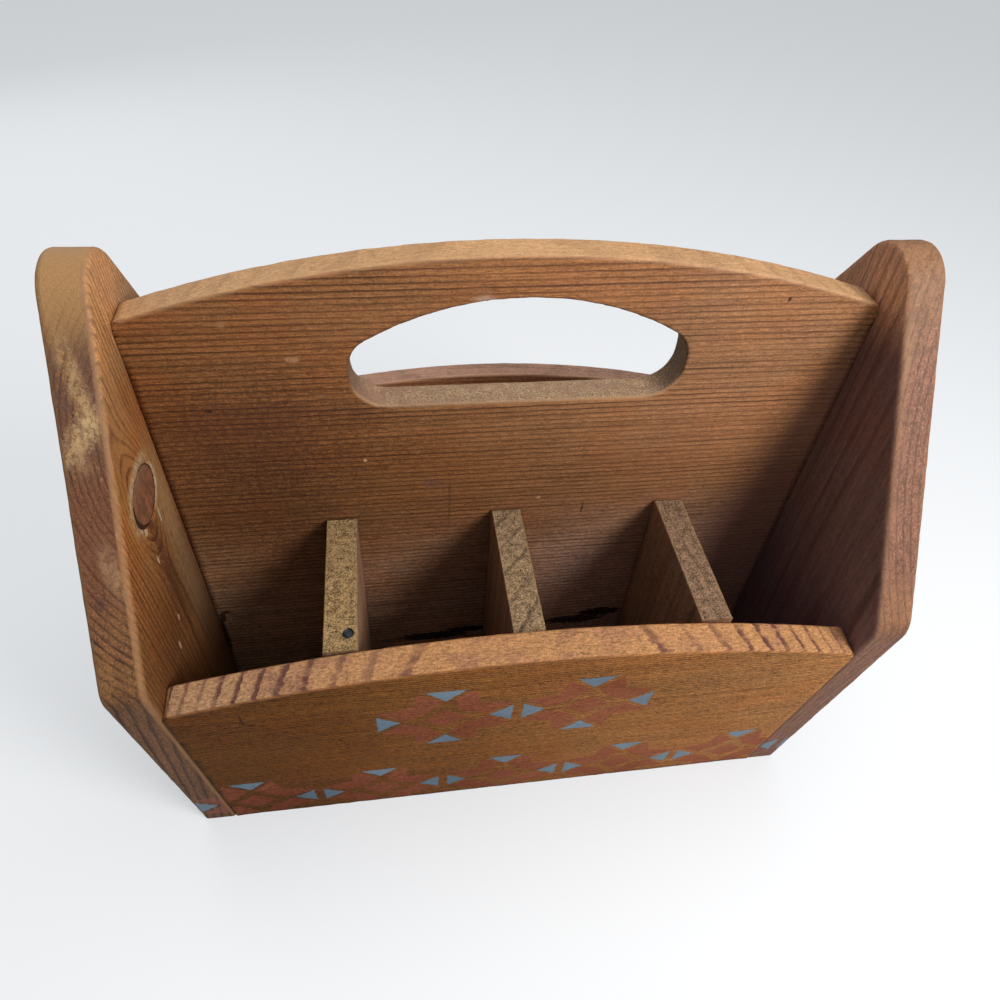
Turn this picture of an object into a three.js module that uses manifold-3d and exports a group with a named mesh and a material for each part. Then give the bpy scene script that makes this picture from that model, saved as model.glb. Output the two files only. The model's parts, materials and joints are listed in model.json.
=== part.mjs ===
import * as THREE from "three";
import { mergeVertices } from "three/addons/utils/BufferGeometryUtils.js";
import Module from "manifold-3d";

// A pine mail sorter that stands on a desk, in millimetres, with +Z up and the front towards -Y.
// Two shaped side panels hold an upright centre board with a hand hole. Low boards lean outwards
// at the front and at the back, and three dividers make four letter compartments at the front.
// The origin lies under the middle of the sorter, on the surface that it stands on.

// The stock, heavier for the side panels, and the width between them.
const boardThickness = 12.7;
const sideThickness = 15;
const innerWidth = 260;

// The side panel's outline, half of it: foot, shoulder and ridge.
const footReach = 65.75;
const shoulderReach = 83.4;
const shoulderHeight = 141.3;
const shoulderRound = 14;
const sideHeight = 254.5;
const ridgeRound = 16;
const sideEase = 2;

// The centre board's crown and its hand hole.
const centreEndHeight = 234.2;
const centreCrownHeight = 255.2;
const handHoleWidth = 120;
const handHoleFloor = 198;
const handHoleShoulder = 220.8;
const handHoleCrown = 239.4;
const handHoleFloorRound = 12.5;
const handHoleShoulderRound = 12;
const handHoleOffset = 1.4;

// The leaning boards, with their heights taken straight up at the outer face.
const frontEndHeight = 124.2;
const frontCrownHeight = 143.9;
const backEndHeight = 131.2;
const backCrownHeight = 151.4;
const cornerRound = 6;
const boardEase = 1.2;

// The dividers of the front compartments, from left to right, each with its shift to the right of
// an even spacing: the maker set the last one by eye.
const dividerShifts = { left: 0, middle: 0, right: 3.6 };
const dividerHeight = 140.8;

// Finishing nails, and the brad that is driven aslant through the left divider's top edge: its head
// lies a little to the right of the divider's middle, and behind its front end.
const nailLength = 38.1;
const nailRadius = 0.95;
const nailHeadRadius = 1.4;
const nailHeadHeight = 1.3;
const nailTipLength = 3;
const nailSet = 0.4;
const bradLength = 27;
const bradInset = 7.5;
const bradShift = 2.8;
const bradSkew = THREE.MathUtils.degToRad(27);
const bradHeadRadius = 1.5;

// Where the nails stand: heights on the upright boards, and distances from the middle on the bottom.
const lowBoardNailHeights = [22, 66, 110];
const centreNailHeights = [50, 120, 190];
const bottomNailReaches = [-38, 38];
const dividerNailHeights = [45, 110];

// The glue line between two boards, the room round a nail and the fineness of the round shapes.
const jointGap = 0.2;
const nailClearance = 0.25;
const chordError = 0.05;
const easeSteps = 3;
const nailSides = 10;

// Sizes that follow from the ones above.
const halfInner = innerWidth / 2;
const halfThickness = boardThickness / 2;
const boardEnd = halfInner - jointGap;
const lean = Math.atan((shoulderReach - footReach) / shoulderHeight);
const leaningThickness = boardThickness / Math.cos(lean);
const compartmentFloor = boardThickness + jointGap;

const wasm = await Module();
wasm.setup();

function toSolid(geometry) {
  const bare = geometry.clone();
  bare.deleteAttribute("normal");
  bare.deleteAttribute("uv");
  const merged = mergeVertices(bare);
  return new wasm.Manifold(new wasm.Mesh({
    numProp: 3,
    vertProperties: new Float32Array(merged.attributes.position.array),
    triVerts: new Uint32Array(merged.index.array),
  }));
}

function toGeometry(solid) {
  const { vertProperties, triVerts } = solid.getMesh();
  const geometry = new THREE.BufferGeometry();
  geometry.setAttribute("position", new THREE.BufferAttribute(vertProperties, 3));
  geometry.setIndex(new THREE.BufferAttribute(triVerts, 1));
  geometry.computeVertexNormals();
  return geometry;
}

// Cuts tools that stand in the sorter's frame out of a mesh that has a place of its own.
function cut(mesh, tools) {
  mesh.updateWorldMatrix(true, false);
  const toMesh = mesh.matrixWorld.clone().invert();
  let solid = toSolid(mesh.geometry);
  for (const tool of tools) {
    solid = solid.subtract(toSolid(tool.clone().applyMatrix4(toMesh)));
  }
  mesh.geometry = toGeometry(solid);
}

// Points along an arc, close enough for its chords to stay within the allowed error.
function arcPoints(centreX, centreY, radius, from, to) {
  const stepTurn = 2 * Math.acos(1 - chordError / radius);
  const steps = Math.ceil(Math.abs(to - from) / stepTurn);
  const points = [];
  for (let step = 0; step <= steps; step += 1) {
    const angle = from + ((to - from) * step) / steps;
    points.push({ x: centreX + radius * Math.cos(angle), y: centreY + radius * Math.sin(angle) });
  }
  return points;
}

// An anticlockwise outline drawn from corners {x, y, round}, with an arc in each rounded corner.
function trace(path, corners) {
  const points = corners.flatMap((corner, index) => {
    if (!corner.round) return [corner];
    const before = corners[(index + corners.length - 1) % corners.length];
    const after = corners[(index + 1) % corners.length];
    const arriving = Math.atan2(corner.y - before.y, corner.x - before.x);
    const leaving = Math.atan2(after.y - corner.y, after.x - corner.x);
    const turn = THREE.MathUtils.euclideanModulo(leaving - arriving, 2 * Math.PI);
    const inset = corner.round * Math.tan(turn / 2);
    const centreX = corner.x - inset * Math.cos(arriving) - corner.round * Math.sin(arriving);
    const centreY = corner.y - inset * Math.sin(arriving) + corner.round * Math.cos(arriving);
    const start = arriving - Math.PI / 2;
    return arcPoints(centreX, centreY, corner.round, start, start + turn);
  });
  path.setFromPoints(points.map((point) => new THREE.Vector2(point.x, point.y)));
  return path;
}

// A board's crowned top, from right to left: a shallow arc between two rounded corners.
function crownedEdge(halfWidth, endHeight, crownHeight, endRound, shift = 0) {
  const rise = crownHeight - endHeight;
  const radius = (halfWidth ** 2 + rise ** 2) / (2 * rise);
  const roundReach = halfWidth - endRound;
  const halfTurn = Math.asin(roundReach / (radius - endRound));
  const crownCentre = crownHeight - radius;
  const roundCentre = crownCentre + (radius - endRound) * Math.cos(halfTurn);
  const crownStart = Math.PI / 2 - halfTurn;
  return [
    ...arcPoints(shift + roundReach, roundCentre, endRound, 0, crownStart),
    ...arcPoints(shift, crownCentre, radius, crownStart, Math.PI - crownStart).slice(1, -1),
    ...arcPoints(shift - roundReach, roundCentre, endRound, Math.PI - crownStart, Math.PI),
  ];
}

// A board of full thickness cut to an outline, with its arrises eased, its outer face at local z 0.
function easedBoard(shape, ease, thickness = boardThickness) {
  const geometry = new THREE.ExtrudeGeometry(shape, {
    depth: thickness - 2 * ease,
    bevelThickness: ease,
    bevelSize: ease,
    bevelOffset: -ease,
    bevelSegments: easeSteps,
  });
  return geometry.translate(0, 0, ease - thickness);
}

// Blocks that trim a board: what lies below a level, and what lies past its two ends.
const trimReach = 4 * sideHeight;

function belowLevel(level) {
  return new THREE.BoxGeometry(trimReach, trimReach, trimReach).translate(0, 0, level - trimReach / 2);
}

function pastEnds(end) {
  return [-1, 1].map((side) => {
    const block = new THREE.BoxGeometry(trimReach, trimReach, trimReach);
    return block.translate(side * (end + trimReach / 2), 0, 0);
  });
}

function addMesh(parent, name, geometry, finish) {
  const mesh = new THREE.Mesh(geometry, new THREE.MeshStandardMaterial(finish));
  mesh.name = name;
  parent.add(mesh);
  return mesh;
}

const sorter = new THREE.Group();

// Side panels: an upright leaning foot, a rounded shoulder and a slope up to a rounded ridge.
// The slope runs from the shoulder as a tangent to the ridge's arc.
function sideOutline() {
  const ridgeCentre = sideHeight - ridgeRound;
  const rise = ridgeCentre - shoulderHeight;
  const toRidge = Math.atan2(rise, shoulderReach);
  const slope = toRidge + Math.asin(ridgeRound / Math.hypot(rise, shoulderReach));
  const ridgePoint = shoulderHeight + shoulderReach * Math.tan(slope);
  const below = sideEase * 2;
  const toe = footReach - below * Math.tan(lean);
  return trace(new THREE.Shape(), [
    { x: toe, y: -below },
    { x: shoulderReach, y: shoulderHeight, round: shoulderRound },
    { x: 0, y: ridgePoint, round: ridgeRound },
    { x: -shoulderReach, y: shoulderHeight, round: shoulderRound },
    { x: -toe, y: -below },
  ]);
}

const profilePlane = new THREE.Matrix4().makeBasis(
  new THREE.Vector3(0, 1, 0),
  new THREE.Vector3(0, 0, 1),
  new THREE.Vector3(1, 0, 0),
);
const sideWood = { color: 0xb5713c, roughness: 0.55 };
const sidePanels = {};
for (const [name, rightFace] of [["left", -halfInner], ["right", halfInner + sideThickness]]) {
  const geometry = easedBoard(sideOutline(), sideEase, sideThickness);
  const panel = addMesh(sorter, `${name}_side_panel`, geometry, sideWood);
  panel.quaternion.setFromRotationMatrix(profilePlane);
  panel.position.x = rightFace;
  cut(panel, [belowLevel(0)]);
  sidePanels[name] = panel;
}

// Bottom board: it fills the base between the four walls, with its long edges planed to their lean.
const bottomWood = { color: 0x9a6236, roughness: 0.75 };
const innerReachAtFloor = footReach - leaningThickness - jointGap;
const innerReachAtTop = innerReachAtFloor + boardThickness * Math.tan(lean);
const bottomProfile = trace(new THREE.Shape(), [
  { x: innerReachAtFloor, y: 0 },
  { x: innerReachAtTop, y: boardThickness },
  { x: -innerReachAtTop, y: boardThickness },
  { x: -innerReachAtFloor, y: 0 },
]);
const bottomCut = { depth: 2 * boardEnd, bevelEnabled: false };
const bottomGeometry = new THREE.ExtrudeGeometry(bottomProfile, bottomCut);
const bottomBoard = addMesh(sorter, "bottom_board", bottomGeometry, bottomWood);
bottomBoard.quaternion.setFromRotationMatrix(profilePlane);
bottomBoard.position.x = -boardEnd;

// Centre board: it stands on the bottom board, with a crowned top and a hand hole below the crown.
const centreShape = trace(new THREE.Shape(), [
  { x: -boardEnd - boardEase, y: 0 },
  { x: boardEnd + boardEase, y: 0 },
  ...crownedEdge(boardEnd + boardEase, centreEndHeight, centreCrownHeight, cornerRound),
]);
centreShape.holes.push(trace(new THREE.Path(), [
  { x: handHoleOffset - handHoleWidth / 2, y: handHoleFloor, round: handHoleFloorRound },
  { x: handHoleOffset + handHoleWidth / 2, y: handHoleFloor, round: handHoleFloorRound },
  ...crownedEdge(handHoleWidth / 2, handHoleShoulder, handHoleCrown, handHoleShoulderRound, handHoleOffset),
]));
const centreWood = { color: 0xa9683a, roughness: 0.5 };
const centreBoard = addMesh(sorter, "centre_board", easedBoard(centreShape, boardEase), centreWood);
centreBoard.rotation.x = Math.PI / 2;
centreBoard.position.y = -halfThickness;
cut(centreBoard, [belowLevel(compartmentFloor), ...pastEnds(boardEnd)]);

// Front and back boards: each leans outwards with the side panels' feet, and has a crowned top.
function leaningBoard(name, turn, endHeight, crownHeight, finish) {
  const group = new THREE.Group();
  group.rotation.z = turn;
  sorter.add(group);
  const alongFace = 1 / Math.cos(lean);
  const shape = trace(new THREE.Shape(), [
    { x: -boardEnd - boardEase, y: -boardThickness },
    { x: boardEnd + boardEase, y: -boardThickness },
    ...crownedEdge(boardEnd + boardEase, endHeight * alongFace, crownHeight * alongFace, cornerRound),
  ]);
  const board = addMesh(group, name, easedBoard(shape, boardEase), finish);
  board.rotation.x = Math.PI / 2 + lean;
  board.position.y = -footReach;
  cut(board, [belowLevel(0), ...pastEnds(boardEnd)]);
  return board;
}
const frontWood = { color: 0xa06a35, roughness: 0.55 };
const frontBoard = leaningBoard("front_board", 0, frontEndHeight, frontCrownHeight, frontWood);
const backWood = { color: 0xa5673f, roughness: 0.55 };
const backBoard = leaningBoard("back_board", Math.PI, backEndHeight, backCrownHeight, backWood);

// Dividers: level on top, square against the centre board, and cut to the front board's lean.
const dividerWood = { color: 0x8f6b4a, roughness: 0.85 };
const dividerNames = Object.keys(dividerShifts);
const compartmentWidth = (innerWidth - dividerNames.length * boardThickness) / (dividerNames.length + 1);
const wallReachAtFloor = footReach + compartmentFloor * Math.tan(lean) - leaningThickness - jointGap;
const wallReachAtTop = footReach + dividerHeight * Math.tan(lean) - leaningThickness - jointGap;
const dividers = {};
dividerNames.forEach((name, index) => {
  const profile = trace(new THREE.Shape(), [
    { x: -wallReachAtFloor, y: compartmentFloor },
    { x: -halfThickness - jointGap, y: compartmentFloor },
    { x: -halfThickness - jointGap, y: dividerHeight },
    { x: -wallReachAtTop, y: dividerHeight },
  ]);
  const geometry = new THREE.ExtrudeGeometry(profile, { depth: boardThickness, bevelEnabled: false });
  const divider = addMesh(sorter, `divider_${name}`, geometry, dividerWood);
  divider.quaternion.setFromRotationMatrix(profilePlane);
  const evenPlace = compartmentWidth * (index + 1) + boardThickness * index - halfInner;
  divider.position.x = evenPlace + dividerShifts[name];
  dividers[name] = divider;
});

// A nail with its head's top at the origin and its point towards -Y. Grown by a clearance, and
// open above the head, the same profile bores the nail's hole.
function nailGeometry(length, headRadius, clearance = 0) {
  const top = clearance ? headRadius + nailSet : 0;
  const profile = [
    [0, -length - 2 * clearance],
    [nailRadius + clearance, -length + nailTipLength],
    [nailRadius + clearance, -nailHeadHeight - clearance],
    [headRadius + clearance, -nailHeadHeight / 2 - clearance],
    [headRadius + clearance, top],
    [0, top],
  ];
  return new THREE.LatheGeometry(profile.map(([x, y]) => new THREE.Vector2(x, y)), nailSides);
}

const nailSteel = { color: 0x3c444e, roughness: 0.5, metalness: 0.8 };

// Drives a nail into place and bores its hole in the boards that it passes through.
function driveNail(name, place, boards, length = nailLength, headRadius = nailHeadRadius) {
  const nail = addMesh(sorter, name, nailGeometry(length, headRadius), nailSteel);
  nail.position.set(place.x, place.y, place.z);
  nail.rotation.set(place.turnX ?? 0, 0, place.turnZ ?? 0);
  nail.updateWorldMatrix(true, false);
  const bore = nailGeometry(length, headRadius, nailClearance).applyMatrix4(nail.matrixWorld);
  for (const board of boards) cut(board, [bore]);
}

// Nails through the side panels into the ends of the boards between them.
for (const [side, sign] of [["left", -1], ["right", 1]]) {
  const panel = sidePanels[side];
  const head = { x: sign * (halfInner + sideThickness - nailSet), turnZ: (-sign * Math.PI) / 2 };
  lowBoardNailHeights.forEach((z, index) => {
    const middleReach = footReach + z * Math.tan(lean) - leaningThickness / 2;
    driveNail(`nail_${side}_front_${index + 1}`, { ...head, y: -middleReach, z }, [panel, frontBoard]);
    driveNail(`nail_${side}_back_${index + 1}`, { ...head, y: middleReach, z }, [panel, backBoard]);
  });
  centreNailHeights.forEach((z, index) => {
    driveNail(`nail_${side}_centre_${index + 1}`, { ...head, y: 0, z }, [panel, centreBoard]);
  });
  bottomNailReaches.forEach((y, index) => {
    driveNail(`nail_${side}_bottom_${index + 1}`, { ...head, y, z: halfThickness }, [panel, bottomBoard]);
  });
}

// Nails through the centre board's back into each divider.
for (const name of dividerNames) {
  const divider = dividers[name];
  const x = divider.position.x + halfThickness;
  dividerNailHeights.forEach((z, index) => {
    const head = { x, y: halfThickness - nailSet, z };
    driveNail(`nail_divider_${name}_${index + 1}`, head, [centreBoard, divider]);
  });
}

// The brad through the left divider's top edge into the front board, with its head in sight.
const bradPlace = {
  x: dividers.left.position.x + halfThickness + bradShift,
  y: bradInset - wallReachAtTop,
  z: dividerHeight - nailSet,
  turnX: Math.PI / 2 - bradSkew,
};
driveNail("brad_divider_left", bradPlace, [dividers.left, frontBoard], bradLength, bradHeadRadius);

export default sorter;
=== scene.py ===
import json
import math
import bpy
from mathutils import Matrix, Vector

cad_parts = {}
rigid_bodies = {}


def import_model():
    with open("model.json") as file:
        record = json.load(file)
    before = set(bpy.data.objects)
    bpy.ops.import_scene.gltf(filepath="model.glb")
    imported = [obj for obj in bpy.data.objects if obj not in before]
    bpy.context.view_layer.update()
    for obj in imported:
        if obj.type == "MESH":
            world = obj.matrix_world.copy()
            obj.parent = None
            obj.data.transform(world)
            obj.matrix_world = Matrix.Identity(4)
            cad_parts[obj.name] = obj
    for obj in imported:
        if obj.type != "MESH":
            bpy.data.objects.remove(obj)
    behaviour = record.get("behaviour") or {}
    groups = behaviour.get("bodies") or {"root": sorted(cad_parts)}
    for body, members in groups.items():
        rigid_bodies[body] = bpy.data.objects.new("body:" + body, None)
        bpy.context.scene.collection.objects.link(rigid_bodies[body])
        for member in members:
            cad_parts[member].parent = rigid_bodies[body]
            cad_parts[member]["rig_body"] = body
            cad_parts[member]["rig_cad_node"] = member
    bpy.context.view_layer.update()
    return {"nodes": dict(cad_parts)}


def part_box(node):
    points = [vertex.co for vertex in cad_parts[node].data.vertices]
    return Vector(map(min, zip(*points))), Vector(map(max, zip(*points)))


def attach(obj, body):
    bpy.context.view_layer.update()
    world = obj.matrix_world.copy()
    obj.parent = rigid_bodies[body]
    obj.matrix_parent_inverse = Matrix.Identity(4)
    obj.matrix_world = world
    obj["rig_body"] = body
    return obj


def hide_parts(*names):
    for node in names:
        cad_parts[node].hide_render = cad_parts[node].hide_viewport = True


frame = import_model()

from types import SimpleNamespace

import bpy
from mathutils import Matrix, Vector
from mathutils.kdtree import KDTree

# The sorter is seen from above and in front, a little to the left of its middle and close by, with the
# view turned slightly on its axis. Sizes in this file that are called mm are millimetres, the rest metres.
mm = 0.001
view = bpy.data.objects.new("view", bpy.data.cameras.new("view"))
view.data.lens = 26.293
view.data.sensor_width = 36.0
view.data.clip_start = 0.01
view.location = (-45.17 * mm, -216.45 * mm, 363.63 * mm)
view.rotation_euler = (math.radians(44.5749), 0.0, math.radians(-11.4075))
view.rotation_euler.rotate_axis("Z", math.radians(4.8605))
bpy.context.scene.collection.objects.link(view)
bpy.context.scene.camera = view
bpy.context.scene.view_settings.view_transform = "Standard"

# The room: a plain pale floor that keeps the sorter's soft shadow, soft lamps to the right in front,
# above and faintly behind, and an even pale surround. The floor throws less light back than the view
# of it shows.
bpy.ops.object.select_all(action="DESELECT")
bpy.ops.mesh.primitive_plane_add(size=8.0)
floor = bpy.context.active_object
floor.name = "floor"
floor_finish = bpy.data.materials.new("pale_floor")
floor_finish.use_nodes = True
floor_nodes = floor_finish.node_tree.nodes
floor_paint = floor_nodes["Principled BSDF"]
floor_paint.inputs["Roughness"].default_value = 0.9
floor_paint.inputs["Base Color"].default_value = (0.42, 0.42, 0.42, 1.0)
floor_paint.inputs["Emission Strength"].default_value = 1.0
floor_path = floor_nodes.new("ShaderNodeLightPath")
floor_glow = floor_nodes.new("ShaderNodeMix")
floor_glow.data_type = "RGBA"
floor_glow.inputs[6].default_value = (0.0, 0.0, 0.0, 1.0)
floor_glow.inputs[7].default_value = (0.44, 0.45, 0.46, 1.0)
floor_finish.node_tree.links.new(floor_path.outputs["Is Camera Ray"], floor_glow.inputs[0])
floor_finish.node_tree.links.new(floor_glow.outputs[2], floor_paint.inputs["Emission Color"])
floor.data.materials.append(floor_finish)

for lamp_name, lamp_place, lamp_size, lamp_power in (
    ("window", (0.43, -0.46, 0.60), 0.32, 5.3),
    ("ceiling", (0.1, 0.0, 1.35), 1.1, 8.0),
    ("behind", (-0.55, 0.8, 0.55), 0.7, 1.4),
):
    lamp = bpy.data.objects.new(lamp_name, bpy.data.lights.new(lamp_name, "AREA"))
    lamp.data.shape = "DISK"
    lamp.data.size = lamp_size
    lamp.data.energy = lamp_power
    lamp.location = lamp_place
    lamp.rotation_euler = (Vector((0.0, -0.04, 0.1)) - lamp.location).to_track_quat("-Z", "Y").to_euler()
    bpy.context.scene.collection.objects.link(lamp)

surround = bpy.data.worlds.new("surround")
surround.use_nodes = True
surround_light = surround.node_tree.nodes["Background"]
surround_light.inputs["Color"].default_value = (0.84, 0.93, 1.0, 1.0)
surround_light.inputs["Strength"].default_value = 0.3
bpy.context.scene.world = surround


# Left side panel: pine a little heavier than the boards, grain upright, sawn to a blunt top and sloping
# shoulders, its arrises sanded round. A dead knot shows on its inner face. It is nailed to the boards.
class Shade:
    """A value, a place or a colour in a finish. Sums and products of values add their Math nodes."""

    def __init__(self, tree, socket):
        self.tree = tree
        self.socket = socket

    def node(self, kind, settings, sockets, output=0):
        made = self.tree.nodes.new("ShaderNode" + kind)
        for setting, choice in settings.items():
            setattr(made, setting, choice)
        for name, value in sockets.items():
            if isinstance(value, Shade):
                self.tree.links.new(value.socket, made.inputs[name])
            else:
                made.inputs[name].default_value = value
        return Shade(self.tree, made.outputs[output]) if made.outputs else None

    def maths(self, operation, first, second=0.0):
        return self.node("Math", {"operation": operation}, {0: first, 1: second})

    def __add__(self, other):
        return self.maths("ADD", self, other)

    __radd__ = __add__

    def __sub__(self, other):
        return self.maths("SUBTRACT", self, other)

    def __rsub__(self, other):
        return self.maths("SUBTRACT", other, self)

    def __mul__(self, other):
        return self.maths("MULTIPLY", self, other)

    __rmul__ = __mul__

    def __truediv__(self, other):
        return self.maths("DIVIDE", self, other)

    def __abs__(self):
        return self.maths("ABSOLUTE", self)

    def most(self, other):
        return self.maths("MAXIMUM", self, other)

    def least(self, other):
        return self.maths("MINIMUM", self, other)

    def band(self, start, end):
        """Rises smoothly from 0 at start to 1 at end, or falls where end is below start."""
        limits = {0: self, 1: start, 2: end, 3: 0.0, 4: 1.0}
        return self.node("MapRange", {"interpolation_type": "SMOOTHSTEP"}, limits)

    def blend(self, under, over):
        """The colour under where this value is 0, and the colour over where it is 1."""
        return self.node("Mix", {"data_type": "RGBA"}, {0: self, 6: under, 7: over}, 2)

    def tinted(self, value):
        """This colour made darker or lighter by a value."""
        return self.node("VectorMath", {"operation": "SCALE"}, {0: self, 3: value})

    def stretched(self, steps):
        """This place or colour times a number each way."""
        return self.node("VectorMath", {"operation": "MULTIPLY"}, {0: self, 1: steps})

    def cloud(self, steps, detail=2.0, roughness=0.5):
        """Noise of so many waves to the millimetre each way."""
        sockets = {"Vector": self.stretched(steps), "Scale": 1.0, "Detail": detail, "Roughness": roughness}
        return self.node("TexNoise", {"noise_dimensions": "3D"}, sockets)


def tone(red, green, blue):
    """A colour as the eye reads it, from 0 to 255, in the linear light that the shader works in."""
    channels = []
    for part in (red / 255, green / 255, blue / 255):
        channels.append(part / 12.92 if part <= 0.04045 else ((part + 0.055) / 1.055) ** 2.4)
    return (*channels, 1.0)


# What turns a place in metres into one in mm.
in_mm = (1000.0, 1000.0, 1000.0)


def spot(wood, centre, reach, soft=0.3):
    """1 inside a ragged, grainy blotch, and 0 outside it. Its centre and its reach each way are in mm,
    and soft says how far it fades out and breaks up into mottles."""
    away = wood.ground.node("VectorMath", {"operation": "SUBTRACT"}, {0: wood.place, 1: centre})
    share = away.stretched(tuple(1 / side for side in reach))
    length = share.node("VectorMath", {"operation": "LENGTH"}, {0: share}, 1)
    grain = wood.fleck * 2.5 + wood.fine * 2.0
    shape = (length + wood.ragged * 0.7 + grain * soft).band(1 + soft * 0.8, 1 - soft * 0.8)
    return shape * (1.0 - soft * 0.8 + wood.mottle * soft * 0.8)


def pine(name, trunk, heart, spacing, early, late, line=0.42, waver=0.5, contrast=1.0, bow=5.0, knot=None,
         rough=1.0):
    """Solid pine: rings round the heart of the trunk, each pale first and dark last, and fine fibres along
    it, so that faces, edges and end grain all show the same piece of the tree. trunk is the way the tree
    grew, heart a place on its middle line and spacing the width of a ring, in mm. The dark part of a ring
    starts at line, from 0 to 1. The rings waver and bow by so many mm, and bend out round a knot. contrast
    and rough say how strong the rings and the fine grain are. Returns the parts of the finish."""
    material = bpy.data.materials.new(name)
    material.use_nodes = True
    tree = material.node_tree
    tree.nodes.clear()
    coordinates = tree.nodes.new("ShaderNodeTexCoord")
    ground = Shade(tree, coordinates.outputs["Object"])
    along = Vector(trunk).normalized()
    aside = along.orthogonal().normalized()
    turn = Matrix((along, aside, along.cross(aside)))
    shift = -(turn @ Vector(heart))
    mapping = {"Rotation": turn.to_euler(), "Scale": in_mm, "Location": shift}
    log = ground.node("Mapping", {"vector_type": "POINT"}, {"Vector": ground, **mapping})
    place = ground.stretched(in_mm)
    axes = [place.node("SeparateXYZ", {}, {0: place}, axis) for axis in range(3)]
    across = log.stretched((0.0, 1.0, 1.0))
    radius = across.node("VectorMath", {"operation": "LENGTH"}, {0: across}, 1)
    if knot:
        knot_bend, knot_bend_reach = 7.0, 34.0
        from_knot = place.node("VectorMath", {"operation": "DISTANCE"}, {0: place, 1: knot}, 1)
        radius = radius - from_knot.band(knot_bend_reach, 0.0) * knot_bend
    slow = (log.cloud((0.0045, 0.016, 0.016), 1.0) - 0.5) * bow
    jag = (log.cloud((0.14, 0.5, 0.5), 4.0, 0.72) - 0.5) * waver
    count = (radius + slow + jag) / spacing
    ring = count.maths("FLOOR", count)
    phase = count.maths("FRACT", count)
    chance = ring.node("TexWhiteNoise", {"noise_dimensions": "1D"}, {"W": ring})
    dark_line = phase.band(line, 0.86) * phase.band(1.0, 0.95)
    patchy = log.cloud((0.03, 0.3, 0.3), 3.0, 0.6).band(0.25, 0.6)
    fleck = log.cloud((0.4, 1.5, 1.5), 3.0, 0.8) - 0.5
    dashes = log.cloud((0.28, 1.9, 1.9), 2.0, 0.7).band(0.54, 0.68)
    rings = dark_line * (0.55 + 0.45 * chance) * (0.45 + 0.55 * patchy) * (0.6 + 0.4 * fleck.band(-0.14, 0.06))
    rings = rings * contrast
    fine = place.cloud((1.3, 1.3, 1.3), 2.0, 0.8) - 0.5
    fibre = log.cloud((0.045, 1.5, 1.5), 3.0, 0.65) - 0.5
    streak = log.cloud((0.008, 0.4, 0.4), 2.0, 0.6) - 0.5
    drift = place.cloud((0.014, 0.014, 0.014), 2.0) - 0.5
    grain = (fleck * 2.2 + fine * 1.5) * rough
    shade = 1.05 + grain + fibre * 1.1 + streak * 0.8 + drift * 0.6 - dashes * rough * 0.22
    mottle = place.cloud((0.5, 0.5, 0.3), 4.0, 0.78).band(0.4, 0.58)
    red = place.cloud((0.02, 0.02, 0.035), 2.0).band(0.42, 0.6)
    colour = rings.blend(tone(*early), tone(*late)).tinted(shade)
    from_arris = ground.node("Attribute", {"attribute_name": "arris"}, {}, 2)
    ragged = (place.cloud((0.45, 0.45, 0.45), 3.0, 0.65) - 0.5) * 1.6
    return SimpleNamespace(
        material=material, ground=ground, place=place, x=axes[0], y=axes[1], z=axes[2],
        rings=rings, fine=fine, fleck=fleck, fibre=fibre, drift=drift, shade=shade, ragged=ragged,
        grain=grain, mottle=mottle,
        colour=(red * 0.5).blend(colour, colour.stretched((1.06, 0.88, 0.74))),
        rubbed=(from_arris + ragged * 0.8 + fleck * 2.0).band(1.4, 0.2),
        height=rings * 0.04 + fleck * 0.16 + fine * 0.08 + fibre * 0.12,
    )


def marked(wood, colour, marks):
    """The colour with spots laid on it: each has a centre and a reach in mm, a colour, how far it covers
    from 0 to 1, and how soft it is."""
    for centre, reach, spot_colour, cover, *soft in marks:
        colour = (spot(wood, centre, reach, *soft) * cover).blend(colour, tone(*spot_colour))
    return colour


def lay(wood, colour, roughness, height, sheen=0.3):
    """Closes a finish: its colour, how dull it is, its fine relief in mm, and how much it shines."""
    bump = wood.ground.node("Bump", {}, {"Strength": 1.0, "Distance": mm, "Height": height})
    sockets = {"Base Color": colour, "Roughness": roughness, "Normal": bump, "Specular IOR Level": sheen}
    surface = wood.ground.node("BsdfPrincipled", {}, sockets)
    wood.ground.node("OutputMaterial", {}, {"Surface": surface})


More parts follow.
